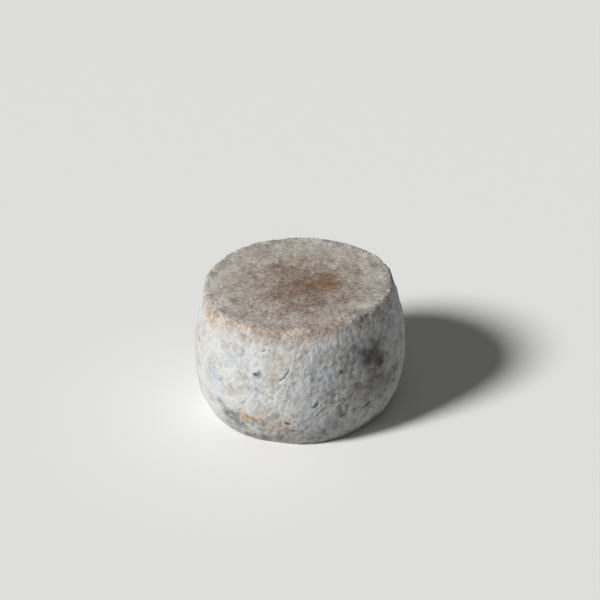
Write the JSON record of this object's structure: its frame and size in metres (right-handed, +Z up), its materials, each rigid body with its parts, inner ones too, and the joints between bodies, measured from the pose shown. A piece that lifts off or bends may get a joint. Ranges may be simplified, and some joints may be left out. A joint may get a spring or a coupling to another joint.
{
  "type": "cheese wheel",
  "caption": "Small barrel-sided wheel of natural-rind farmhouse cheese, flat base and gently sloping flat top.",
  "frame": {"origin": "on the flat base, below the middle of the wheel's outside", "axes": "+Z up, from the base to the top face; +X towards the side where the sloping top face stands highest"},
  "size_m": [0.1506, 0.1494, 0.0979],
  "materials": {
    "rind": "matte"
  },
  "bodies": {
    "root": {"cheese_wheel": "rind"}
  },
  "joints": []
}
